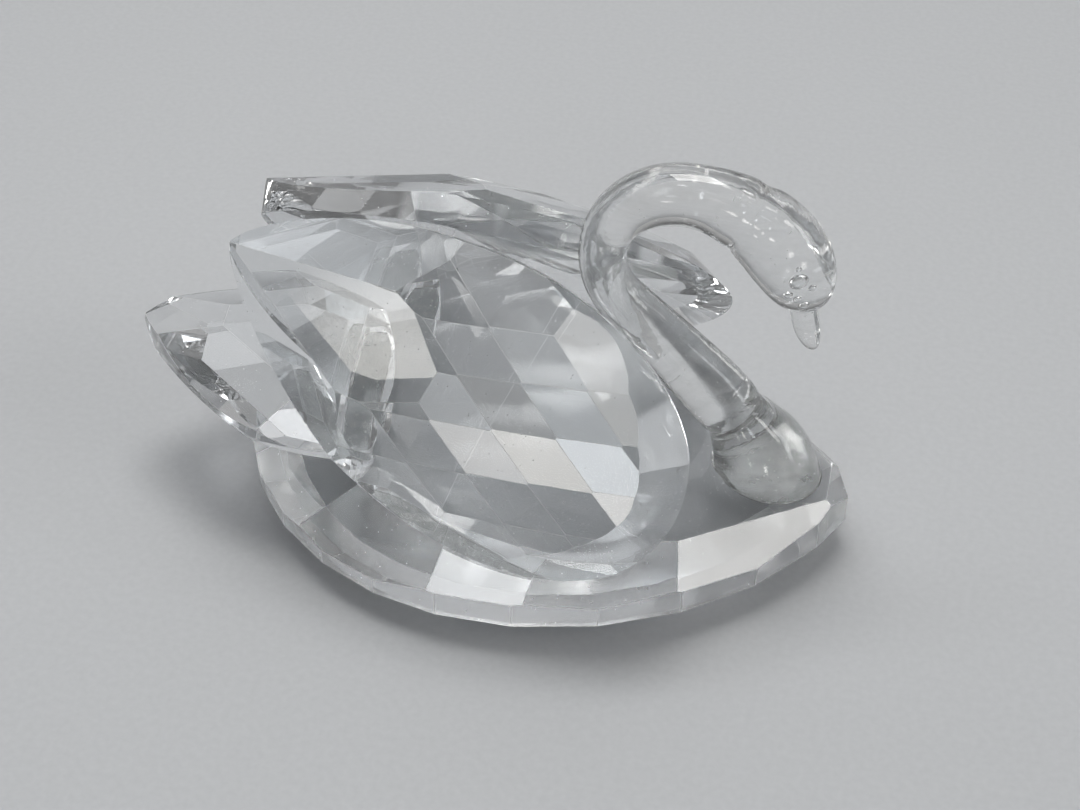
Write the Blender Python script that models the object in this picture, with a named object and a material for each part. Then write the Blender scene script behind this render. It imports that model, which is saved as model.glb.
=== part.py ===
"""Swan figurine of clear cut crystal: five glass pieces and the four cured adhesive films that hold them.

The swan faces +X and stands on the flat of its hull at z = 0. The wings, the tail and the hull are cut stones:
each is a blank that loses everything outside a list of flat facets. The neck is drawn rod, made as a loft.
Sizes are in millimetres and are turned into metres where vertices are made.
"""

import math

import bmesh
import bpy
from mathutils import Matrix, Vector

MM = 0.001

# Outline sampling: how finely a rim is searched, and how close to a tip its direction is read
OUTLINE_SAMPLES = 720
TIP_ANGLE = 1e-4

# Glass and adhesive
CLEAR_GLASS = (0.93, 0.95, 0.96)
GLUE_TONE = (0.90, 0.91, 0.88)
GLASS_ROUGHNESS = 0.02
GLUE_ROUGHNESS = 0.2
CRYSTAL_REFRACTION = 1.55
ROD_REFRACTION = 1.5
GLUE_CLEARNESS = 0.8

# Facet edges steeper than these angles stay sharp
STONE_SMOOTHING = 5.5
ROD_SMOOTHING = 40.0

# Hull: pear outline in plan, two arcs on each side
HULL_BOW_X = 46.0
HULL_STERN_X = -46.0
HULL_WIDEST_X = -3.5
HULL_HALF_WIDTH = 32.2
HULL_WALL_STEP = 12.8
HULL_RIM_Z = 4.6
HULL_PAVILION_SLOPE = 31.0
HULL_KEEL_SLOPE = 13.0
HULL_KEEL_Z = 0.9
HULL_BOW_TOP_Z = 9.0
HULL_BOW_SLOPE = 41.0
HULL_CROWN_Z = 8.2
HULL_FRONT_HEADING = 48.0
HULL_FRONT_SLOPE = 43.0
HULL_QUARTER_HEADING = 70.0
HULL_QUARTER_SLOPE = 39.0
HULL_AFT_HEADINGS = (118.0, 142.0, 164.0)
HULL_AFT_SLOPES = (35.0, 31.0, 29.0)
HULL_AFT_CROWN_Z = 7.2
DECK_Z = 12.4
DECK_SLOPE = 5.0
TAIL_SEAT_SLOPE = 8.0
TAIL_SEAT_RIDGE_X = -9.0

# Wings: teardrop stones, domed outside and flat inside
WING_LENGTH = 73.6
WING_WIDTH = 39.8
WING_POINTEDNESS = 0.41
WING_DOME = 8.9
WING_LONG_RADIUS = 110.0
WING_CROSS_RADIUS = 22.0
WING_GIRDLE = 1.0
WING_BACK_DEPTH = 5.2
WING_BACK_BEVEL = 84.0
WING_BACK_TAPER = 9.8
WING_TAPER_START = 0.50
WING_ROUND_BEVEL = 42.0
WING_TIP_FACET_END = 0.48
WING_TIP_FACET_SPREAD = 18.4
WING_BORDER_END = 0.35
WING_NET_FIRST_ROW = 0.41
WING_NET_ROWS = 6
WING_NET_PITCH = 7.85
WING_NET_ACROSS = 7.3
WING_OUTLINE_CUTS = 120
WING_PITCH = 25.3
WING_LEAN = 31.6
WING_YAW = -0.2
WING_HEEL_X = 5.7
WINGS_CLEARANCE = 1.33
WING_HEEL_Z = 11.85
WING_SEAT_SLOPE = 35.0
WING_SEAT_DROP = 0.7

# Tail: smaller teardrop stone with a table on each side
TAIL_LENGTH = 43.4
TAIL_WIDTH = 36.6
TAIL_POINTEDNESS = 0.78
TAIL_GIRDLE = 1.0
TAIL_TOP = 5.0
TAIL_BOTTOM = 4.5
TAIL_TILT = 11.7
TAIL_TIP_BEVEL = 20.0
TAIL_SIDE_BEVEL = 27.0
TAIL_FRONT_BEVEL = 33.0
TAIL_REAR_CUT = 0.34
TAIL_FRONT_CUT = 0.68
TAIL_OUTLINE_CUTS = 72
TAIL_CENTRE_X = -40.2
TAIL_LIFT = 1.65
TAIL_LIFT_X = -20.0

# Neck and head: one drawn rod with a flared foot and a pulled beak
NECK_FOOT_X = 34.0
NECK_FOOT_RADIUS = 7.9
NECK_FOOT_HEADING = 115.0
NECK_FOOT_LEVELLING = 6.0
NECK_FLARE = 12.0
NECK_ROD_HEADING = 135.0
NECK_ROD_BEND = 52.0
NECK_ROD_LENGTH = 16.9
NECK_ROD_RADIUS = 4.8
NECK_WAIST_RADIUS = 3.4
NECK_LOOP = 11.2
NECK_TOP_RADIUS = 4.3
HEAD_LOOP = 17.0
HEAD_TURN = 84.0
HEAD_RADIUS = 5.9
HEAD_FULL_AT = 0.63
HEAD_SLIMNESS = 0.90
BEAK_LENGTH = 8.0
BEAK_KICK = 20.0
BEAK_RADIUS = 1.95
NECK_WAIST_TURN = 45.0
NECK_CREASE_DEPTH = 0.35
NECK_CREASE_WIDTH = 0.9
FOOT_CREASE_AT = 0.92
HEAD_CREASE_AT = 0.36
NECK_SIDES = 32
NECK_RING_STEP = 0.8
HEAD_RINGS = 14

# Adhesive films
BOND_THICKNESS = 0.20
BOND_CLEARANCE = 0.02
BOND_INSET = 0.96


def clear_scene():
    for old in list(bpy.data.objects):
        bpy.data.objects.remove(old, do_unlink=True)


def make_material(name, colour, roughness, transmission, refraction):
    """Clear material with its own colour, polish and refraction."""
    material = bpy.data.materials.new(name)
    material.use_nodes = True
    shader = material.node_tree.nodes["Principled BSDF"]
    shader.inputs["Base Color"].default_value = (*colour, 1.0)
    shader.inputs["Metallic"].default_value = 0.0
    shader.inputs["Roughness"].default_value = roughness
    shader.inputs["Transmission Weight"].default_value = transmission
    shader.inputs["IOR"].default_value = refraction
    return material


def crystal(name):
    return make_material(name, CLEAR_GLASS, GLASS_ROUGHNESS, 1.0, CRYSTAL_REFRACTION)


def adhesive(name):
    return make_material(name, GLUE_TONE, GLUE_ROUGHNESS, GLUE_CLEARNESS, ROD_REFRACTION)


def turn(degrees):
    """Unit vector at an angle in a plane."""
    return math.cos(math.radians(degrees)), math.sin(math.radians(degrees))


def facet_normal(across, along, slope):
    """Unit normal of a facet that faces (across, along) in plan and leans back by its slope from level."""
    level = math.hypot(across, along)
    lean = math.sin(math.radians(slope))
    return Vector((across / level * lean, along / level * lean, math.cos(math.radians(slope))))


def rough_block(size):
    """Block of raw glass, larger than the finished stone."""
    block = bmesh.new()
    bmesh.ops.create_cube(block, size=size)
    return block


def cut_facet(stone, point, normal):
    """Grind away what lies outside one flat plane and close the stone with the new facet."""
    everything = stone.verts[:] + stone.edges[:] + stone.faces[:]
    bmesh.ops.bisect_plane(
        stone, geom=everything, dist=1e-6, plane_co=point, plane_no=normal, clear_outer=True)
    rim = [edge for edge in stone.edges if edge.is_boundary]
    if rim:
        bmesh.ops.contextual_create(stone, geom=rim)


def cut_stone(size, facets):
    stone = rough_block(size)
    for point, normal in facets:
        cut_facet(stone, point, normal)
    return stone


def finish_object(name, mesh_data, material, parent, smooth_below):
    """Scale a millimetre mesh to metres and make it a named object."""
    bmesh.ops.scale(mesh_data, vec=(MM, MM, MM), verts=mesh_data.verts)
    bmesh.ops.remove_doubles(mesh_data, verts=mesh_data.verts, dist=2e-6)
    bmesh.ops.dissolve_degenerate(mesh_data, dist=2e-6, edges=mesh_data.edges)
    bmesh.ops.recalc_face_normals(mesh_data, faces=mesh_data.faces)
    mesh = bpy.data.meshes.new(name)
    mesh_data.to_mesh(mesh)
    mesh_data.free()
    mesh.materials.append(material)
    mesh.shade_smooth()
    mesh.set_sharp_from_angle(angle=math.radians(smooth_below))
    item = bpy.data.objects.new(name, mesh)
    bpy.context.scene.collection.objects.link(item)
    item.parent = parent
    return item


def place(item, frame):
    """Put an object where a millimetre frame stands."""
    item.location = frame.to_translation() * MM
    item.rotation_euler = frame.to_euler()


def to_local(frame, plane):
    """Carry a plane of the whole figure into the frame of one piece."""
    point, normal = plane
    back = frame.inverted()
    return back @ point, (back.to_3x3() @ normal).normalized()


def shifted(plane, distance):
    point, normal = plane
    return point + normal * distance, normal


def flipped(plane):
    point, normal = plane
    return point, -normal


class Teardrop:
    """Teardrop outline: the tip points along +X, the round end along -X."""

    def __init__(self, length, width, pointedness):
        self.half_length = length / 2
        self.power = pointedness
        widest = math.acos(-pointedness / (2 + pointedness))
        self.widest_x = self.half_length * math.cos(widest)
        self.scale = width / 2 / (math.sin(widest) * math.sin(widest / 2) ** pointedness)

    def point(self, angle):
        bulge = math.sin(angle) * math.sin(angle / 2) ** self.power
        return Vector((self.half_length * math.cos(angle), self.scale * bulge, 0.0))

    def facing(self, angle):
        """Outward direction of the outline in its own plane."""
        half = math.sin(angle / 2)
        rise = math.cos(angle) * half ** self.power
        rise += math.sin(angle) * self.power / 2 * half ** (self.power - 1) * math.cos(angle / 2)
        return Vector((self.scale * rise, self.half_length * math.sin(angle), 0.0)).normalized()

    def angle_at(self, share):
        """Angle of the outline point at a share of the length from the tip, on the +Y side."""
        return math.acos(1 - 2 * share)

    def angles(self, count):
        return [2 * math.pi * (number + 0.5) / count for number in range(count)]


def deck_plane():
    """Front top of the hull, which carries the neck."""
    fall, up = math.sin(math.radians(DECK_SLOPE)), math.cos(math.radians(DECK_SLOPE))
    return Vector((NECK_FOOT_X, 0, DECK_Z)), Vector((fall, 0, up))


def tail_seat_plane():
    """Rear top of the hull, which carries the tail."""
    point, normal = deck_plane()
    ridge_z = point.z - (TAIL_SEAT_RIDGE_X - point.x) * normal.x / normal.z
    fall, up = math.sin(math.radians(TAIL_SEAT_SLOPE)), math.cos(math.radians(TAIL_SEAT_SLOPE))
    return Vector((TAIL_SEAT_RIDGE_X, 0, ridge_z)), Vector((-fall, 0, up))


def wing_seat_plane(side):
    """Side facet of the hull, which carries a wing just under the wing's lowest edge."""
    normal = Vector((0, side * math.sin(math.radians(WING_SEAT_SLOPE)), math.cos(math.radians(WING_SEAT_SLOPE))))
    _, _, heel = wing_stand(side)
    return heel - normal * WING_SEAT_DROP, normal


def hull_outline():
    """Wall facets in plan: a point on the wall and its outward direction, for the +Y side, bow to stern."""
    walls = []
    arcs = ((HULL_BOW_X, 1, 0), (HULL_STERN_X, -1, 1))
    for end_x, way, first in arcs:
        reach = abs(end_x - HULL_WIDEST_X)
        radius = (reach ** 2 + HULL_HALF_WIDTH ** 2) / (2 * HULL_HALF_WIDTH)
        steepest = math.degrees(math.asin(min(1.0, reach / radius)))
        step = first
        while step * HULL_WALL_STEP < steepest:
            angle = math.radians(step * HULL_WALL_STEP)
            x = HULL_WIDEST_X + way * radius * math.sin(angle)
            y = HULL_HALF_WIDTH - radius + radius * math.cos(angle)
            walls.append((Vector((x, y, 0)), Vector((way * math.sin(angle), math.cos(angle), 0))))
            step += 1
    return walls


def mirrored(facets):
    """The same facets on the -Y side."""
    flip = Vector((1, -1, 1))
    return [(point * flip, normal * flip) for point, normal in facets]


def hull_facets():
    side = []
    for point, facing in hull_outline():
        side.append((point, facing))
        rim = point + Vector((0, 0, HULL_RIM_Z))
        pavilion = facet_normal(facing.x, facing.y, HULL_PAVILION_SLOPE)
        side.append((rim, Vector((pavilion.x, pavilion.y, -pavilion.z))))
        keel = facet_normal(facing.x, facing.y, HULL_KEEL_SLOPE)
        inset = (HULL_RIM_Z - HULL_KEEL_Z) / math.tan(math.radians(HULL_PAVILION_SLOPE))
        keel_point = point - facing * inset + Vector((0, 0, HULL_KEEL_Z))
        side.append((keel_point, Vector((keel.x, keel.y, -keel.z))))
    crown = [
        (HULL_FRONT_HEADING, HULL_FRONT_SLOPE, HULL_CROWN_Z),
        (HULL_QUARTER_HEADING, HULL_QUARTER_SLOPE, HULL_CROWN_Z),
    ]
    for heading, slope in zip(HULL_AFT_HEADINGS, HULL_AFT_SLOPES):
        crown.append((heading, slope, HULL_AFT_CROWN_Z))
    for heading, slope, height in crown:
        x, y = turn(heading)
        on_wall = wall_point(heading)
        side.append((on_wall + Vector((0, 0, height)), facet_normal(x, y, slope)))
    side.append(wing_seat_plane(1))
    bow_x, bow_z = math.sin(math.radians(HULL_BOW_SLOPE)), math.cos(math.radians(HULL_BOW_SLOPE))
    middle = [
        (Vector((0, 0, 0)), Vector((0, 0, -1))),
        (Vector((HULL_STERN_X, 0, 0)), Vector((-1, 0, 0))),
        (Vector((HULL_BOW_X, 0, HULL_BOW_TOP_Z)), Vector((bow_x, 0, bow_z))),
        deck_plane(),
        tail_seat_plane(),
    ]
    return side + mirrored(side) + middle


def wall_point(heading):
    """Point where the smooth hull outline faces a heading, on the +Y side."""
    ahead, aside = turn(heading)
    end_x = HULL_BOW_X if ahead > 0 else HULL_STERN_X
    reach = abs(end_x - HULL_WIDEST_X)
    radius = (reach ** 2 + HULL_HALF_WIDTH ** 2) / (2 * HULL_HALF_WIDTH)
    lean = min(abs(ahead), reach / radius)
    y = HULL_HALF_WIDTH - radius + radius * math.sqrt(1 - lean * lean)
    return Vector((HULL_WIDEST_X + math.copysign(radius * lean, ahead), max(y, 0.0), 0))


def wing_turn(side):
    """Directions of a wing: +X to its tip, +Z out of its dome."""
    along = Vector((-math.cos(math.radians(WING_PITCH)), 0, math.sin(math.radians(WING_PITCH))))
    across = Vector((math.sin(math.radians(WING_PITCH)), 0, math.cos(math.radians(WING_PITCH))))
    outward = Vector((0, 1, 0))
    swing = Matrix.Rotation(math.radians(WING_YAW), 3, "Z") @ Matrix.Rotation(math.radians(WING_LEAN), 3, "X")
    axes = [swing @ axis for axis in (along, across, outward)]
    if side < 0:
        axes = [axis * Vector((1, -1, 1)) for axis in axes]
        axes[1] = -axes[1]
    return Matrix(axes).transposed()


def wing_stand(side):
    """A wing's directions, its lowest rim point in them, and the heel where that stands, clear of the other wing."""
    turned = wing_turn(side)
    outline = Teardrop(WING_LENGTH, WING_WIDTH, WING_POINTEDNESS)
    inset = (WING_BACK_DEPTH - WING_GIRDLE / 2) / math.tan(math.radians(WING_BACK_BEVEL))
    rim, back = [], []
    for angle in outline.angles(OUTLINE_SAMPLES):
        point = outline.point(angle)
        rim.append(turned @ point)
        back.append(turned @ (point - outline.facing(angle) * inset - Vector((0, 0, WING_BACK_DEPTH))))
    lowest = min(rim, key=lambda spot: spot.z)
    inward = max(side * (lowest.y - spot.y) for spot in back)
    return turned, lowest, Vector((WING_HEEL_X, side * (inward + WINGS_CLEARANCE / 2), WING_HEEL_Z))


def wing_frame(side):
    """Frame of a wing, standing on its heel."""
    turned, lowest, heel = wing_stand(side)
    return Matrix.Translation(heel - lowest) @ turned.to_4x4()


def wing_dome(x, y, centre_x):
    """Point and normal of the smooth dome that the net of facets touches."""
    ahead = x - centre_x
    height = WING_DOME - ahead ** 2 / (2 * WING_LONG_RADIUS) - y ** 2 / (2 * WING_CROSS_RADIUS)
    normal = Vector((ahead / WING_LONG_RADIUS, y / WING_CROSS_RADIUS, 1)).normalized()
    return Vector((x, y, height)), normal


def wing_facets():
    outline = Teardrop(WING_LENGTH, WING_WIDTH, WING_POINTEDNESS)
    tip_x = outline.half_length
    top = Vector((0, 0, WING_GIRDLE / 2))
    facets = []
    for angle in outline.angles(WING_OUTLINE_CUTS):
        point, facing = outline.point(angle), outline.facing(angle)
        facets.append((point, facing))
        bevel = facet_normal(facing.x, facing.y, WING_BACK_BEVEL)
        facets.append((point - top, Vector((bevel.x, bevel.y, -bevel.z))))
        if point.x < outline.widest_x:
            facets.append((point + top, facet_normal(facing.x, facing.y, WING_ROUND_BEVEL)))
    tip = Vector((tip_x, 0, top.z))
    shoulder, _ = wing_dome(tip_x - WING_TIP_FACET_END * WING_LENGTH, 0, outline.widest_x)
    climb = shoulder - tip
    facets.append((tip, climb.cross(Vector((0, -1, 0))).normalized()))
    for way in (1, -1):
        spread = Vector((0, way * abs(climb.x) * math.tan(math.radians(WING_TIP_FACET_SPREAD)), 0))
        border_end = outline.point(way * outline.angle_at(WING_BORDER_END) % (2 * math.pi)) + top
        border = (climb + spread).cross(border_end - tip).normalized()
        facets.append((tip, border if border.z > 0 else -border))
    for row in range(WING_NET_ROWS):
        x = tip_x - WING_NET_FIRST_ROW * WING_LENGTH - row * WING_NET_PITCH
        offset = 0.5 if row % 2 == 0 else 0.0
        reach = int(WING_WIDTH / 2 / WING_NET_ACROSS + 1)
        for column in range(-reach, reach + 1):
            y = (column + offset) * WING_NET_ACROSS
            if abs(y) < WING_WIDTH / 2 - WING_NET_ACROSS / 4:
                facets.append(wing_dome(x, y, outline.widest_x))
    facets.append((Vector((0, 0, -WING_BACK_DEPTH)), Vector((0, 0, -1))))
    taper_x = tip_x - WING_TAPER_START * WING_LENGTH
    taper = facet_normal(-1, 0, WING_BACK_TAPER)
    facets.append((Vector((taper_x, 0, -WING_BACK_DEPTH)), Vector((taper.x, 0, -taper.z))))
    return facets


def tail_frame():
    """Frame of the tail: +X to its tip, +Z up through its table."""
    tilt = math.radians(TAIL_TILT)
    point, normal = tail_seat_plane()
    seat_z = point.z - (TAIL_LIFT_X - point.x) * normal.x / normal.z
    centre_z = seat_z + TAIL_LIFT + (TAIL_LIFT_X - TAIL_CENTRE_X) * math.tan(tilt)
    along = Vector((-math.cos(tilt), 0, math.sin(tilt)))
    upward = Vector((math.sin(tilt), 0, math.cos(tilt)))
    turned = Matrix((along, upward.cross(along), upward)).transposed()
    return Matrix.Translation((TAIL_CENTRE_X, 0, centre_z)) @ turned.to_4x4()


def tail_facets():
    outline = Teardrop(TAIL_LENGTH, TAIL_WIDTH, TAIL_POINTEDNESS)
    half = Vector((0, 0, TAIL_GIRDLE / 2))
    facets = [(outline.point(angle), outline.facing(angle)) for angle in outline.angles(TAIL_OUTLINE_CUTS)]
    bevels = [(math.pi, TAIL_FRONT_BEVEL), (TIP_ANGLE, TAIL_TIP_BEVEL)]
    for way in (1, -1):
        bevels.append((way * outline.angle_at(TAIL_REAR_CUT) % (2 * math.pi), TAIL_SIDE_BEVEL))
        bevels.append((way * outline.angle_at(TAIL_FRONT_CUT) % (2 * math.pi), TAIL_FRONT_BEVEL))
    for angle, slope in bevels:
        point, facing = outline.point(angle), outline.facing(angle)
        bevel = facet_normal(facing.x, facing.y, slope)
        facets.append((point + half, bevel))
        facets.append((point - half, Vector((bevel.x, bevel.y, -bevel.z))))
    facets.append((Vector((0, 0, TAIL_TOP)), Vector((0, 0, 1))))
    facets.append((Vector((0, 0, -TAIL_BOTTOM)), Vector((0, 0, -1))))
    return facets


def ease(share):
    """Smooth step from 0 to 1."""
    share = min(max(share, 0.0), 1.0)
    return share * share * (3 - 2 * share)


def blend(first, second, share):
    return first + (second - first) * ease(share)


class NeckPath:
    """Centreline of the neck in the middle plane: arcs and straights from foot to beak, with a radius."""

    def __init__(self):
        point, normal = deck_plane()
        self.base = Vector((point.x, point.z)) + Vector((normal.x, normal.z)) * BOND_THICKNESS
        bend = NECK_ROD_HEADING - NECK_FOOT_HEADING
        self.legs = (
            (math.radians(bend) * NECK_ROD_BEND, bend),
            (NECK_ROD_LENGTH, 0.0),
            (math.radians(NECK_ROD_HEADING) * NECK_LOOP, -NECK_ROD_HEADING),
            (math.radians(HEAD_TURN) * HEAD_LOOP, -HEAD_TURN),
            (BEAK_LENGTH, BEAK_KICK),
        )
        self.ends = [sum(leg[0] for leg in self.legs[:count]) for count in range(len(self.legs) + 1)]

    def locate(self, distance):
        """Centre and heading at a distance along the path."""
        spot, heading = self.base.copy(), NECK_FOOT_HEADING
        for length, bend in self.legs:
            part = min(distance, length)
            if bend:
                radius = length / math.radians(bend)
                swept = math.degrees(part / radius)
                out = turn(heading - 90)
                after = turn(heading + swept - 90)
                spot += Vector((after[0] - out[0], after[1] - out[1])) * radius
                heading += swept
            else:
                ahead = turn(heading)
                spot += Vector(ahead) * part
            distance -= part
            if distance <= 0:
                break
        return spot, heading

    def radius(self, distance):
        """Radius of the rod, less the creases left where the foot and the head were worked hot."""
        head_crease = self.ends[3] + (self.ends[4] - self.ends[3]) * HEAD_CREASE_AT
        radius = self.plain_radius(distance)
        for crease in (NECK_FLARE * FOOT_CREASE_AT, head_crease):
            radius -= NECK_CREASE_DEPTH * math.exp(-((distance - crease) / NECK_CREASE_WIDTH) ** 2)
        return radius

    def plain_radius(self, distance):
        rod_end, top, head_end, tip = self.ends[2:]
        waist = rod_end + (top - rod_end) * NECK_WAIST_TURN / NECK_ROD_HEADING
        full = top + (head_end - top) * HEAD_FULL_AT
        if distance < NECK_FLARE:
            return blend(NECK_FOOT_RADIUS, NECK_ROD_RADIUS, distance / NECK_FLARE)
        if distance < waist:
            return blend(NECK_ROD_RADIUS, NECK_WAIST_RADIUS, (distance - NECK_FLARE) / (waist - NECK_FLARE))
        if distance < top:
            return blend(NECK_WAIST_RADIUS, NECK_TOP_RADIUS, (distance - waist) / (top - waist))
        if distance < full:
            return blend(NECK_TOP_RADIUS, HEAD_RADIUS, (distance - top) / (full - top))
        if distance < head_end:
            fall = (distance - full) / (head_end - full)
            return BEAK_RADIUS + (HEAD_RADIUS - BEAK_RADIUS) * math.sqrt(1 - fall * fall)
        gone = min((distance - head_end) / (tip - head_end), 1.0)
        return BEAK_RADIUS * math.sqrt(1 - gone ** 3)

    def slimness(self, distance):
        """Width across the bird as a share of the depth in its middle plane."""
        top, head_end = self.ends[3], self.ends[4]
        if distance > head_end:
            return HEAD_SLIMNESS
        return blend(1.0, HEAD_SLIMNESS, (distance - top) / (head_end - top))

    def stations(self):
        """Distances of the rings, closer together where the head rounds off into the beak and its tip."""
        full = self.ends[3] + (self.ends[4] - self.ends[3]) * HEAD_FULL_AT
        count = round(full / NECK_RING_STEP)
        marks = [full * number / count for number in range(count)]
        for start, stop in ((full, self.ends[4]), (self.ends[4], self.ends[5])):
            for number in range(HEAD_RINGS):
                marks.append(start + (stop - start) * math.sin(math.pi / 2 * number / HEAD_RINGS))
        return marks


def neck_mesh():
    path = NeckPath()
    loft = bmesh.new()
    rings = []
    for distance in path.stations():
        spot, heading = path.locate(distance)
        level = 90.0 - DECK_SLOPE
        facing = level + (heading - level) * ease(distance / NECK_FOOT_LEVELLING)
        out_x, out_z = turn(facing - 90)
        radius = path.radius(distance)
        width = radius * path.slimness(distance)
        ring = []
        for number in range(NECK_SIDES):
            swing, lift = turn(360.0 * number / NECK_SIDES)
            centre = Vector((spot.x + out_x * radius * swing, width * lift, spot.y + out_z * radius * swing))
            ring.append(loft.verts.new(centre))
        rings.append(ring)
    for lower, upper in zip(rings, rings[1:]):
        for number in range(NECK_SIDES):
            after = (number + 1) % NECK_SIDES
            loft.faces.new((lower[number], lower[after], upper[after], upper[number]))
    tip, _ = path.locate(path.ends[-1])
    point = loft.verts.new((tip.x, 0, tip.y))
    last = rings[-1]
    for number in range(NECK_SIDES):
        loft.faces.new((last[number], last[(number + 1) % NECK_SIDES], point))
    loft.faces.new(list(reversed(rings[0])))
    return loft


def film(size, facets, seat):
    """Adhesive film: the slice of a stone that lies in the gap over its seat, drawn in a little at the edge."""
    slice_facets = list(facets)
    slice_facets.append(flipped(shifted(seat, BOND_CLEARANCE)))
    slice_facets.append(shifted(seat, BOND_THICKNESS - BOND_CLEARANCE))
    layer = cut_stone(size, slice_facets)
    middle = sum((vert.co for vert in layer.verts), Vector()) / len(layer.verts)
    for vert in layer.verts:
        offset = vert.co - middle
        height = offset.dot(seat[1])
        flat = offset - seat[1] * height
        vert.co = middle + flat * BOND_INSET + seat[1] * height
    return layer


def neck_film():
    """Round adhesive film under the neck's foot."""
    point, normal = deck_plane()
    layer = bmesh.new()
    depth = BOND_THICKNESS - 2 * BOND_CLEARANCE
    rise = point + normal * BOND_THICKNESS / 2
    lay = Matrix.Translation(rise) @ normal.to_track_quat("Z", "Y").to_matrix().to_4x4()
    bmesh.ops.create_cone(
        layer, cap_ends=True, segments=NECK_SIDES, radius1=NECK_FOOT_RADIUS * BOND_INSET,
        radius2=NECK_FOOT_RADIUS * BOND_INSET, depth=depth, matrix=lay)
    return layer


def build():
    clear_scene()
    root = bpy.data.objects.new("swan", None)
    bpy.context.scene.collection.objects.link(root)

    hull_blank = 2 * (HULL_BOW_X - HULL_STERN_X)
    hull = cut_stone(hull_blank, hull_facets())
    finish_object("hull", hull, crystal("hull_crystal"), root, STONE_SMOOTHING)

    for side, word in ((1, "left"), (-1, "right")):
        frame = wing_frame(side)
        seat = to_local(frame, wing_seat_plane(side))
        facets = wing_facets()
        stone = cut_stone(2 * WING_LENGTH, facets + [flipped(shifted(seat, BOND_THICKNESS))])
        glass = crystal(word + "_wing_crystal")
        place(finish_object(word + "_wing", stone, glass, root, STONE_SMOOTHING), frame)
        layer = film(2 * WING_LENGTH, facets, seat)
        glue = adhesive(word + "_wing_adhesive")
        place(finish_object(word + "_wing_bond", layer, glue, root, STONE_SMOOTHING), frame)

    frame = tail_frame()
    seat = to_local(frame, tail_seat_plane())
    stone = cut_stone(2 * TAIL_LENGTH, tail_facets() + [flipped(shifted(seat, BOND_THICKNESS))])
    place(finish_object("tail", stone, crystal("tail_crystal"), root, STONE_SMOOTHING), frame)
    layer = film(2 * TAIL_LENGTH, tail_facets(), seat)
    place(finish_object("tail_bond", layer, adhesive("tail_adhesive"), root, STONE_SMOOTHING), frame)

    rod_glass = make_material("neck_glass", CLEAR_GLASS, GLASS_ROUGHNESS, 1.0, ROD_REFRACTION)
    finish_object("neck_and_head", neck_mesh(), rod_glass, root, ROD_SMOOTHING)
    finish_object("neck_bond", neck_film(), adhesive("neck_adhesive"), root, ROD_SMOOTHING)


build()
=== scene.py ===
"""Studio picture of the crystal swan: cut stones, drawn neck, adhesive films, pale table, soft light."""

import math

import bmesh
import bpy
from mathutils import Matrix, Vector, noise


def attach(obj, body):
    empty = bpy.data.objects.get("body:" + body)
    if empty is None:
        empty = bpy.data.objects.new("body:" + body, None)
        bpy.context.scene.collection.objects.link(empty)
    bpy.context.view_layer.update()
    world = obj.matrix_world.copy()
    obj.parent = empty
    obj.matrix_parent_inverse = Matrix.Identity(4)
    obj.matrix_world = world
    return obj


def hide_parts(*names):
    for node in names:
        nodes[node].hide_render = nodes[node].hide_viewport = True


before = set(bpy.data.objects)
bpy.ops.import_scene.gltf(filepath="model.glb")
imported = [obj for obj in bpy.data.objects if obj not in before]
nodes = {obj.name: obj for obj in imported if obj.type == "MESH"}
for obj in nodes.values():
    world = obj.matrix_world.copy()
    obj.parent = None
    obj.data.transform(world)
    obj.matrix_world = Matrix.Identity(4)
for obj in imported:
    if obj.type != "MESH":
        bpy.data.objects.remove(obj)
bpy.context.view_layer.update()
scene = bpy.context.scene

# Lengths are metres and areas square metres

# Joining of the solids' triangles into facets, and the angles from which an edge stays sharp
WELD_DISTANCE = 2e-6
FLAT_ANGLE = math.radians(0.4)
FACET_ANGLE = math.radians(5.5)
ROD_ANGLE = math.radians(50.0)

# Worn facet edges: their width, the least facet and edge that show them, and how clear they still are
WORN_WIDTH = 0.00003
WORN_LEAST_AREA = 3e-6
WORN_LEAST_EDGE = 0.00015
WORN_ROUGHNESS = 0.3
WORN_GRAIN = 260.0
WORN_NOISE = (0.35, 0.65)
WORN_CLEAR = (0.90, 0.40)
WORN_TONES = ((0.35, (0.97, 0.975, 0.98)), (0.65, (0.93, 0.945, 0.955)))

# Glass of the stones and of the neck: refraction, tints between which it clouds, light that it scatters
CRYSTAL_REFRACTION = 1.56
CRYSTAL_TONES = ((0.30, (0.945, 0.962, 0.975)), (0.70, (0.985, 0.99, 0.995)))
ROD_REFRACTION = 1.5
ROD_TONES = ((0.30, (0.95, 0.96, 0.965)), (0.70, (0.985, 0.985, 0.98)))
CLOUD_GRAIN = 95.0
HAZE = 0.012

# Milky streaks of the drawn neck, which run along its slope
STREAK_GRAIN = 520.0
STREAK_NOISE = (0.40, 0.70)
STREAK_CLEAR = (1.0 - HAZE, 0.84)
STREAK_SLOPE = math.radians(-45.0)
STREAK_STRETCH = (0.12, 1.0, 1.6)
STREAK_RELIEF = 0.0004
STREAK_RELIEF_STRENGTH = 0.10

# Dust: cells per metre, speck size and share of empty cells
DUST_GRAIN = 1500.0
DUST_SPECK = 0.14
DUST_EMPTY = 0.86
DUST_ROUGHNESS = 0.5
DUST_COLOUR = (0.80, 0.81, 0.82, 1.0)

# Finely ground underside of the hull, up to its rim
GROUND_HEIGHT = 0.0046
GROUND_FADE = 0.0003
GROUND_ROUGHNESS = 0.15

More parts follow.
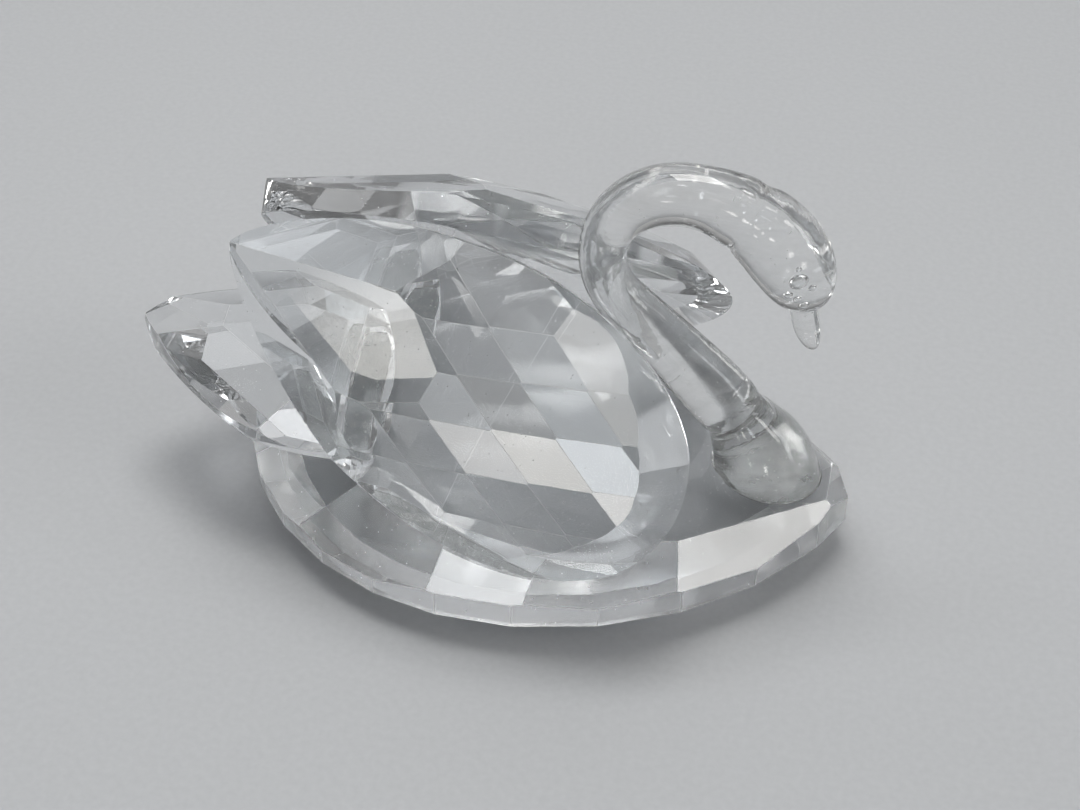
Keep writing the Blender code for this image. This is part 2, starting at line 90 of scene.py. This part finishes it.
# Air bubbles in the head: middle and radius, and how uneven they are
BUBBLES = (
    (0.0353, -0.0010, 0.0485, 0.00100),
    (0.0345, -0.0010, 0.0466, 0.00055),
    (0.0369, -0.0010, 0.0476, 0.00045),
    (0.0364, -0.0010, 0.0450, 0.00060),
    (0.0350, -0.0010, 0.0502, 0.00032),
    (0.0355, -0.0005, 0.0459, 0.00040),
)
BUBBLE_UNEVEN = 0.10
BUBBLE_VARIETY = 300.0

# Adhesive films: reach past the solid's faces, points round the rim, slopes of the seats, look
FILM_BITE = 0.00005
FILM_POINTS = 72
FILM_NOISE_LAYER = 7.3
OUTLINE_DIGITS = 9
FLAT_TOLERANCE = 1e-12
CORNER_TOLERANCE = 1e-6
WING_SEAT_SLOPE = math.radians(35.0)
TAIL_SEAT_SLOPE = math.radians(8.0)
DECK_SLOPE = math.radians(5.0)
ADHESIVE_REFRACTION = 1.5
ADHESIVE_CLEAR = 0.85
ADHESIVE_GRAIN = 420.0
ADHESIVE_NOISE = (0.35, 0.70)
ADHESIVE_ROUGHNESS = (0.04, 0.32)
ADHESIVE_TONES = ((0.35, (0.86, 0.88, 0.87)), (0.65, (0.96, 0.97, 0.96)))

# Table, a hair below the rest face
TABLE_SIZE = 6.0
TABLE_DROP = 0.00006
TABLE_ROUGHNESS = 0.7
TABLE_GRAIN = 900.0
TABLE_TONES = ((0.30, (0.49, 0.50, 0.515)), (0.70, (0.52, 0.53, 0.545)))
TABLE_RELIEF = 0.0003
TABLE_RELIEF_STRENGTH = 0.05

# Brightness of the dim surround by the sine of the elevation
SURROUND = ((0.0, 0.40), (0.10, 0.34), (0.30, 0.11), (0.70, 0.10), (0.90, 0.20))

# Soft strips of light, most of them where a facet mirrors them to the camera:
# azimuth and elevation of both ends, half width in degrees, strength, tint
STRIPS = (
    (-1.0, 14.5, 3.0, 17.5, 6.0, 7.6, (1.0, 0.97, 0.91)),
    (17.5, 27.0, 23.0, 30.0, 6.0, 9.2, (0.93, 0.97, 1.0)),
    (14.0, 6.0, 20.0, 8.5, 4.5, 9.0, (1.0, 0.98, 0.95)),
    (24.0, 48.5, 29.0, 49.0, 5.5, 3.0, (0.92, 0.97, 1.0)),
    (51.0, 52.0, 57.0, 52.5, 5.5, 3.4, (1.0, 0.98, 0.93)),
    (93.0, 34.0, 80.0, 9.0, 4.5, 4.0, (0.96, 0.98, 1.0)),
    (150.0, 42.0, 235.0, 42.0, 20.0, 0.8, (0.97, 0.985, 1.0)),
    (79.0, 61.0, 79.0, 67.0, 5.5, 5.2, (1.0, 0.99, 0.97)),
    (-20.0, 22.0, -14.0, 24.0, 5.5, 3.0, (0.95, 0.98, 1.0)),
    (0.0, 36.0, 1.0, 40.0, 5.5, 1.6, (1.0, 0.98, 0.95)),
    (-4.0, 58.0, 2.0, 60.0, 5.5, 1.7, (0.96, 0.98, 1.0)),
    (36.0, 67.0, 42.0, 67.0, 5.5, 3.0, (0.95, 0.98, 1.0)),
    (76.0, 79.0, 96.0, 80.0, 5.0, 1.8, (0.98, 0.99, 1.0)),
    (-18.0, 2.0, -13.0, 5.0, 5.5, 6.0, (1.0, 0.98, 0.95)),
    (-95.0, 52.0, -124.0, 62.0, 5.5, 3.4, (0.92, 0.96, 1.0)),
    (-110.0, 27.0, -105.0, 33.0, 5.0, 2.0, (0.97, 0.985, 1.0)),
    (-28.0, 62.0, -18.0, 65.0, 5.5, 7.0, (0.97, 0.985, 1.0)),
    (76.0, 33.0, 76.0, 43.0, 5.5, 7.0, (1.0, 0.98, 0.95)),
)
STRIP_SOFTNESS = 0.4

# Square lamp above and behind the swan
LAMP_SPOT = Vector((-0.035, 0.098, 0.615))
LAMP_TARGET = Vector((0.0, 0.0, 0.025))
LAMP_SIZE = 0.26
LAMP_POWER = 1.9
LAMP_COLOUR = (1.0, 0.99, 0.97)

# Camera fitted to the photograph, whose width and focal length are in pixels
PHOTO_WIDTH = 1080.0
FOCAL_LENGTH = 2000.0
SENSOR_WIDTH = 36.0
CAMERA_SPOT = Vector((0.04866, -0.22135, 0.20848))
CAMERA_AZIMUTH = 12.5
CAMERA_ELEVATION = 40.0
CAMERA_NEAREST = 0.01

# Bounces that light needs to pass through several stones
LIGHT_BOUNCES = 28
MIRROR_BOUNCES = 16


def toward(azimuth, elevation):
    """Direction from the swan to a place around it; azimuth 0 is the viewer's side, -Y."""
    around, up = math.radians(azimuth), math.radians(elevation)
    return Vector((math.sin(around) * math.cos(up), -math.cos(around) * math.cos(up), math.sin(up)))


def link(item):
    scene.collection.objects.link(item)
    return item


def shader_of(material):
    return material.node_tree.nodes["Principled BSDF"]


def new_material(name):
    material = bpy.data.materials.new(name)
    material.use_nodes = True
    return material


def node(owner, kind, **values):
    """Add a node to a material or the world, and set its plain properties and input sockets by name."""
    made = owner.node_tree.nodes.new(kind)
    for key, value in values.items():
        if key in made.inputs:
            made.inputs[key].default_value = value
        else:
            setattr(made, key, value)
    return made


def wire(owner, source, target):
    owner.node_tree.links.new(source, target)


def position_in(material):
    """Place on the object, for patterns that stay with it."""
    return node(material, "ShaderNodeTexCoord").outputs["Object"]


def grain_at(material, place, **values):
    """Soft noise over the places."""
    made = node(material, "ShaderNodeTexNoise", **values)
    wire(material, place, made.inputs["Vector"])
    return made.outputs["Fac"]


def work_out(owner, operation, source, number):
    """A value worked on by a fixed number, or compared with it."""
    made = node(owner, "ShaderNodeMath", operation=operation)
    made.inputs[1].default_value = number
    wire(owner, source, made.inputs[0])
    return made.outputs[0]


def combine(owner, operation, first, second):
    """Two values worked into one."""
    made = node(owner, "ShaderNodeMath", operation=operation)
    wire(owner, first, made.inputs[0])
    wire(owner, second, made.inputs[1])
    return made.outputs[0]


def spread(owner, source, given, wanted, blend="LINEAR"):
    """Value that runs over the wanted range while the source runs over the given one."""
    made = node(owner, "ShaderNodeMapRange", interpolation_type=blend)
    made.inputs["From Min"].default_value, made.inputs["From Max"].default_value = given
    made.inputs["To Min"].default_value, made.inputs["To Max"].default_value = wanted
    wire(owner, source, made.inputs["Value"])
    return made.outputs["Result"]


def ramp(owner, source, stops):
    """Colour ramp with (position, grey or colour) stops."""
    made = node(owner, "ShaderNodeValToRGB")
    elements = made.color_ramp.elements
    while len(elements) < len(stops):
        elements.new(0.5)
    for element, (position, tone) in zip(elements, stops):
        element.position = position
        element.color = (*tone, 1.0) if isinstance(tone, tuple) else (tone, tone, tone, 1.0)
    wire(owner, source, made.inputs["Fac"])
    return made.outputs["Color"]


def relief(material, height, strength, distance):
    """Fine unevenness of the surface."""
    bump = node(material, "ShaderNodeBump", Strength=strength, Distance=distance)
    wire(material, height, bump.inputs["Height"])
    wire(material, bump.outputs["Normal"], shader_of(material).inputs["Normal"])


def dust_on(material, place):
    """Mask of a few specks of dust."""
    specks = node(material, "ShaderNodeTexVoronoi", feature="F1", Scale=DUST_GRAIN, Randomness=1.0)
    wire(material, place, specks.inputs["Vector"])
    near = work_out(material, "LESS_THAN", specks.outputs["Distance"], DUST_SPECK)
    chance = node(material, "ShaderNodeSeparateColor")
    wire(material, specks.outputs["Color"], chance.inputs["Color"])
    chosen = work_out(material, "GREATER_THAN", chance.outputs["Red"], DUST_EMPTY)
    return combine(material, "MULTIPLY", near, chosen)


def crystal(name, tones, refraction):
    """Polished glass, faintly cloudy, with a little dust."""
    material = new_material(name)
    shader = shader_of(material)
    shader.inputs["Transmission Weight"].default_value = 1.0 - HAZE
    shader.inputs["IOR"].default_value = refraction
    place = position_in(material)
    dust = dust_on(material, place)

    cloud = grain_at(material, place, Scale=CLOUD_GRAIN, Detail=4.0, Roughness=0.55)
    with_dust = node(material, "ShaderNodeMix", data_type="RGBA")
    with_dust.inputs["B"].default_value = DUST_COLOUR
    wire(material, dust, with_dust.inputs["Factor"])
    wire(material, ramp(material, cloud, tones), with_dust.inputs["A"])
    wire(material, with_dust.outputs["Result"], shader.inputs["Base Color"])

    rough = work_out(material, "MULTIPLY", dust, DUST_ROUGHNESS)
    wire(material, rough, shader.inputs["Roughness"])
    return material


def grind_below(material, top):
    """Grind the glass finely matt below a height."""
    roughness = shader_of(material).inputs["Roughness"]
    polished = roughness.links[0].from_socket
    height = node(material, "ShaderNodeSeparateXYZ")
    wire(material, position_in(material), height.inputs[0])
    ground = spread(material, height.outputs["Z"], (top - GROUND_FADE, top), (GROUND_ROUGHNESS, 0.0))
    wire(material, combine(material, "MAXIMUM", ground, polished), roughness)


def draw_streaks(material):
    """Streak the glass as drawing leaves it, milky and finely ribbed."""
    stretch = node(material, "ShaderNodeMapping")
    stretch.inputs["Rotation"].default_value = (0.0, STREAK_SLOPE, 0.0)
    stretch.inputs["Scale"].default_value = STREAK_STRETCH
    wire(material, position_in(material), stretch.inputs["Vector"])
    wave = grain_at(material, stretch.outputs["Vector"], Scale=STREAK_GRAIN, Detail=2.0)
    clear = spread(material, wave, STREAK_NOISE, STREAK_CLEAR)
    wire(material, clear, shader_of(material).inputs["Transmission Weight"])
    relief(material, wave, STREAK_RELIEF_STRENGTH, STREAK_RELIEF)


def adhesive(name):
    """Cured clear adhesive: a little hazy, with a cloudy grain."""
    material = new_material(name)
    shader = shader_of(material)
    shader.inputs["Transmission Weight"].default_value = ADHESIVE_CLEAR
    shader.inputs["IOR"].default_value = ADHESIVE_REFRACTION
    grain = grain_at(material, position_in(material), Scale=ADHESIVE_GRAIN, Detail=5.0, Roughness=0.6)
    wire(material, ramp(material, grain, ADHESIVE_TONES), shader.inputs["Base Color"])
    rough = spread(material, grain, ADHESIVE_NOISE, ADHESIVE_ROUGHNESS)
    wire(material, rough, shader.inputs["Roughness"])
    return material


def worn_edge(name, refraction):
    """Facet edges rubbed faintly matt by handling, more in some places than in others."""
    material = new_material(name)
    shader = shader_of(material)
    shader.inputs["IOR"].default_value = refraction
    shader.inputs["Roughness"].default_value = WORN_ROUGHNESS
    patches = grain_at(material, position_in(material), Scale=WORN_GRAIN, Detail=3.0, Roughness=0.6)
    wire(material, ramp(material, patches, WORN_TONES), shader.inputs["Base Color"])
    clear = spread(material, patches, WORN_NOISE, WORN_CLEAR)
    wire(material, clear, shader.inputs["Transmission Weight"])
    return material


def welded(name):
    """Shape of a CAD solid with its triangles joined back into flat facets."""
    shape = bmesh.new()
    shape.from_mesh(nodes[name].data)
    bmesh.ops.remove_doubles(shape, verts=shape.verts, dist=WELD_DISTANCE)
    bmesh.ops.dissolve_limit(shape, angle_limit=FLAT_ANGLE, verts=shape.verts, edges=shape.edges)
    bmesh.ops.recalc_face_normals(shape, faces=shape.faces)
    return shape


def wears(face):
    """Whether a facet is large, with sharp edges all round."""
    return face.calc_area() > WORN_LEAST_AREA and all(
        edge.calc_length() > WORN_LEAST_EDGE and edge.calc_face_angle(0.0) > FACET_ANGLE
        for edge in face.edges)


def add_piece(shape, name, new_name, materials):
    """Piece made from a shape, in place of its CAD solid."""
    mesh = bpy.data.meshes.new(new_name)
    shape.to_mesh(mesh)
    shape.free()
    for material in materials:
        mesh.materials.append(material)
    item = link(bpy.data.objects.new(new_name, mesh))
    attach(item, "root")
    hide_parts(name)
    return mesh


def smooth_below(mesh, angle):
    """Shade smoothly across all edges but the sharp ones."""
    mesh.shade_smooth()
    mesh.set_sharp_from_angle(angle=angle)


def stone(name, new_name, material, edge_material):
    """Cut stone: flat facets, each rimmed by its finely worn edges."""
    shape = welded(name)
    worn = [face for face in shape.faces if wears(face)]
    rims = bmesh.ops.inset_individual(shape, faces=worn, thickness=WORN_WIDTH, use_even_offset=True)
    for face in rims["faces"]:
        face.material_index = 1
    smooth_below(add_piece(shape, name, new_name, (material, edge_material)), FACET_ANGLE)


def rod(name, new_name, material, bubbles):
    """Drawn glass rod, smooth, with small air bubbles left in the glass."""
    shape = welded(name)
    for x, y, z, radius in bubbles:
        add_bubble(shape, Vector((x, y, z)), radius)
    smooth_below(add_piece(shape, name, new_name, (material,)), ROD_ANGLE)


def add_bubble(shape, spot, radius):
    """Void in the glass: a slightly uneven sphere that faces inward."""
    ball = bmesh.ops.create_icosphere(shape, subdivisions=3, radius=radius)["verts"]
    for vertex in ball:
        wander = noise.noise(vertex.co / radius + spot * BUBBLE_VARIETY)
        vertex.co *= 1.0 + BUBBLE_UNEVEN * wander
        vertex.co += spot
    faces = {face for vertex in ball for face in vertex.link_faces}
    bmesh.ops.reverse_faces(shape, faces=list(faces))


def film(name, new_name, material, normal, bumps, depth):
    """Adhesive film that wets the glass on both sides, with an edge that wanders inward."""
    points = [vertex.co.copy() for vertex in nodes[name].data.vertices]
    middle = sum(points, Vector()) / len(points)
    across = normal.orthogonal().normalized()
    along = normal.cross(across)
    offsets = [point - middle for point in points]
    outline = convex_outline([(offset.dot(across), offset.dot(along)) for offset in offsets])
    half = max(abs(offset.dot(normal)) for offset in offsets) + FILM_BITE

    rim = []
    for number in range(FILM_POINTS):
        angle = 2 * math.pi * number / FILM_POINTS
        way = (math.cos(angle), math.sin(angle))
        wander = noise.noise(Vector((way[0] * bumps, way[1] * bumps, FILM_NOISE_LAYER)))
        reach = reach_in(outline, way) * (1.0 - depth * (0.5 + 0.5 * wander))
        rim.append(middle + across * (way[0] * reach) + along * (way[1] * reach))

    shape = bmesh.new()
    lower = [shape.verts.new(spot - normal * half) for spot in rim]
    upper = [shape.verts.new(spot + normal * half) for spot in rim]
    for number in range(FILM_POINTS):
        after = (number + 1) % FILM_POINTS
        shape.faces.new((lower[number], lower[after], upper[after], upper[number]))
    shape.faces.new(list(reversed(lower)))
    shape.faces.new(upper)
    bmesh.ops.recalc_face_normals(shape, faces=shape.faces)
    add_piece(shape, name, new_name, (material,))


def reach_in(outline, way):
    """Distance from the middle to a flat convex outline in one direction."""
    best = math.inf
    for (ax, ay), (bx, by) in zip(outline, outline[1:] + outline[:1]):
        ex, ey = bx - ax, by - ay
        cross = way[0] * ey - way[1] * ex
        if abs(cross) < FLAT_TOLERANCE:
            continue
        distance = (ax * ey - ay * ex) / cross
        share = (ax * way[1] - ay * way[0]) / cross
        if distance > 0 and -CORNER_TOLERANCE <= share <= 1 + CORNER_TOLERANCE:
            best = min(best, distance)
    return best


def convex_outline(points):
    """Convex outline of flat points, counterclockwise."""
    ordered = sorted(set((round(x, OUTLINE_DIGITS), round(y, OUTLINE_DIGITS)) for x, y in points))

    def half(sequence):
        chain = []
        for point in sequence:
            while len(chain) > 1 and turn(chain[-2], chain[-1], point) <= 0:
                chain.pop()
            chain.append(point)
        return chain[:-1]

    return half(ordered) + half(reversed(ordered))


def turn(first, second, third):
    """Positive where the way over three flat points turns left."""
    step_x, step_y = second[0] - first[0], second[1] - first[1]
    return step_x * (third[1] - first[1]) - step_y * (third[0] - first[0])


def tilted(slope, way):
    """Upward normal of a seat that slopes down toward a flat direction."""
    return Vector((way[0] * math.sin(slope), way[1] * math.sin(slope), math.cos(slope)))


def build_swan():
    wing_glass = crystal("wing_crystal", CRYSTAL_TONES, CRYSTAL_REFRACTION)
    hull_glass = crystal("hull_crystal", CRYSTAL_TONES, CRYSTAL_REFRACTION)
    grind_below(hull_glass, GROUND_HEIGHT)
    tail_glass = crystal("tail_crystal", CRYSTAL_TONES, CRYSTAL_REFRACTION)
    rod_glass = crystal("neck_glass", ROD_TONES, ROD_REFRACTION)
    draw_streaks(rod_glass)
    edges = worn_edge("worn_facet_edge", CRYSTAL_REFRACTION)
    glue = adhesive("cured_adhesive")

    stone("hull", "hull_stone", hull_glass, edges)
    stone("right_wing", "right_wing_stone", wing_glass, edges)
    stone("left_wing", "left_wing_stone", wing_glass, edges)
    stone("tail", "tail_stone", tail_glass, edges)
    rod("neck_and_head", "neck_rod", rod_glass, BUBBLES)

    right_seat, left_seat = tilted(WING_SEAT_SLOPE, (0, -1)), tilted(WING_SEAT_SLOPE, (0, 1))
    film("right_wing_bond", "right_wing_glue", glue, right_seat, bumps=2.6, depth=0.16)
    film("left_wing_bond", "left_wing_glue", glue, left_seat, bumps=2.3, depth=0.16)
    film("tail_bond", "tail_glue", glue, tilted(TAIL_SEAT_SLOPE, (-1, 0)), bumps=2.0, depth=0.14)
    film("neck_bond", "neck_glue", glue, tilted(DECK_SLOPE, (1, 0)), bumps=1.8, depth=0.05)


def build_table():
    """Pale plain table with a fine paper grain."""
    bpy.ops.mesh.primitive_plane_add(size=TABLE_SIZE, location=(0, 0, -TABLE_DROP))
    table = bpy.context.object
    table.name = "table"
    material = new_material("pale_table")
    shader = shader_of(material)
    shader.inputs["Roughness"].default_value = TABLE_ROUGHNESS
    grain = grain_at(material, position_in(material), Scale=TABLE_GRAIN, Detail=3.0)
    wire(material, ramp(material, grain, TABLE_TONES), shader.inputs["Base Color"])
    relief(material, grain, TABLE_RELIEF_STRENGTH, TABLE_RELIEF)
    table.data.materials.append(material)


def sine(degrees):
    return math.sin(math.radians(degrees))


def dot_with(world, direction, axis):
    """How far a direction points along an axis."""
    made = node(world, "ShaderNodeVectorMath", operation="DOT_PRODUCT")
    made.inputs[1].default_value = axis
    wire(world, direction, made.inputs[0])
    return made.outputs["Value"]


def strip_light(world, direction, start, end, width, strength):
    """Brightness of a strip from one direction to another, fading out across and along."""
    half = math.degrees(start.angle(end)) / 2
    soft = STRIP_SOFTNESS * width
    aside = node(world, "ShaderNodeMath", operation="ABSOLUTE")
    wire(world, dot_with(world, direction, start.cross(end).normalized()), aside.inputs[0])
    ahead = dot_with(world, direction, (start + end).normalized())
    fade_aside = (sine(width + soft), sine(width - soft))
    fade_ahead = (sine(90.0 - half - soft), sine(90.0 - half + soft))
    across = spread(world, aside.outputs[0], fade_aside, (0.0, strength), "SMOOTHSTEP")
    along = spread(world, ahead, fade_ahead, (0.0, 1.0), "SMOOTHSTEP")
    return combine(world, "MULTIPLY", across, along)


def build_world():
    """Dim studio with soft-edged strips of light, so that each facet has a tone of its own."""
    world = bpy.data.worlds.new("studio")
    scene.world = world
    world.use_nodes = True
    direction = node(world, "ShaderNodeTexCoord").outputs["Generated"]
    parts = node(world, "ShaderNodeSeparateXYZ")
    wire(world, direction, parts.inputs[0])
    total = ramp(world, parts.outputs["Z"], SURROUND)
    for start_azimuth, start_elevation, end_azimuth, end_elevation, width, strength, tint in STRIPS:
        start, end = toward(start_azimuth, start_elevation), toward(end_azimuth, end_elevation)
        added = node(world, "ShaderNodeVectorMath", operation="MULTIPLY_ADD")
        added.inputs[1].default_value = tint
        wire(world, strip_light(world, direction, start, end, width, strength), added.inputs[0])
        wire(world, total, added.inputs[2])
        total = added.outputs["Vector"]
    wire(world, total, world.node_tree.nodes["Background"].inputs["Color"])


def build_lamp():
    data = bpy.data.lights.new("top_softbox", "AREA")
    data.shape = "RECTANGLE"
    data.size = LAMP_SIZE
    data.size_y = LAMP_SIZE
    data.energy = LAMP_POWER
    data.color = LAMP_COLOUR
    lamp = link(bpy.data.objects.new("top_softbox", data))
    lamp.location = LAMP_SPOT
    lamp.rotation_euler = (LAMP_TARGET - LAMP_SPOT).to_track_quat("-Z", "Y").to_euler()


def build_camera():
    """Camera at the photograph's viewing angle and framing."""
    back = toward(CAMERA_AZIMUTH, CAMERA_ELEVATION)
    data = bpy.data.cameras.new("camera")
    data.sensor_width = SENSOR_WIDTH
    data.lens = SENSOR_WIDTH * FOCAL_LENGTH / PHOTO_WIDTH
    data.clip_start = CAMERA_NEAREST
    camera = link(bpy.data.objects.new("camera", data))
    camera.location = CAMERA_SPOT
    camera.rotation_euler = (-back).to_track_quat("-Z", "Y").to_euler()
    scene.camera = camera


build_swan()
build_table()
build_world()
build_lamp()
build_camera()

scene.view_settings.view_transform = "Standard"
scene.cycles.max_bounces = LIGHT_BOUNCES
scene.cycles.transmission_bounces = LIGHT_BOUNCES
scene.cycles.glossy_bounces = MIRROR_BOUNCES
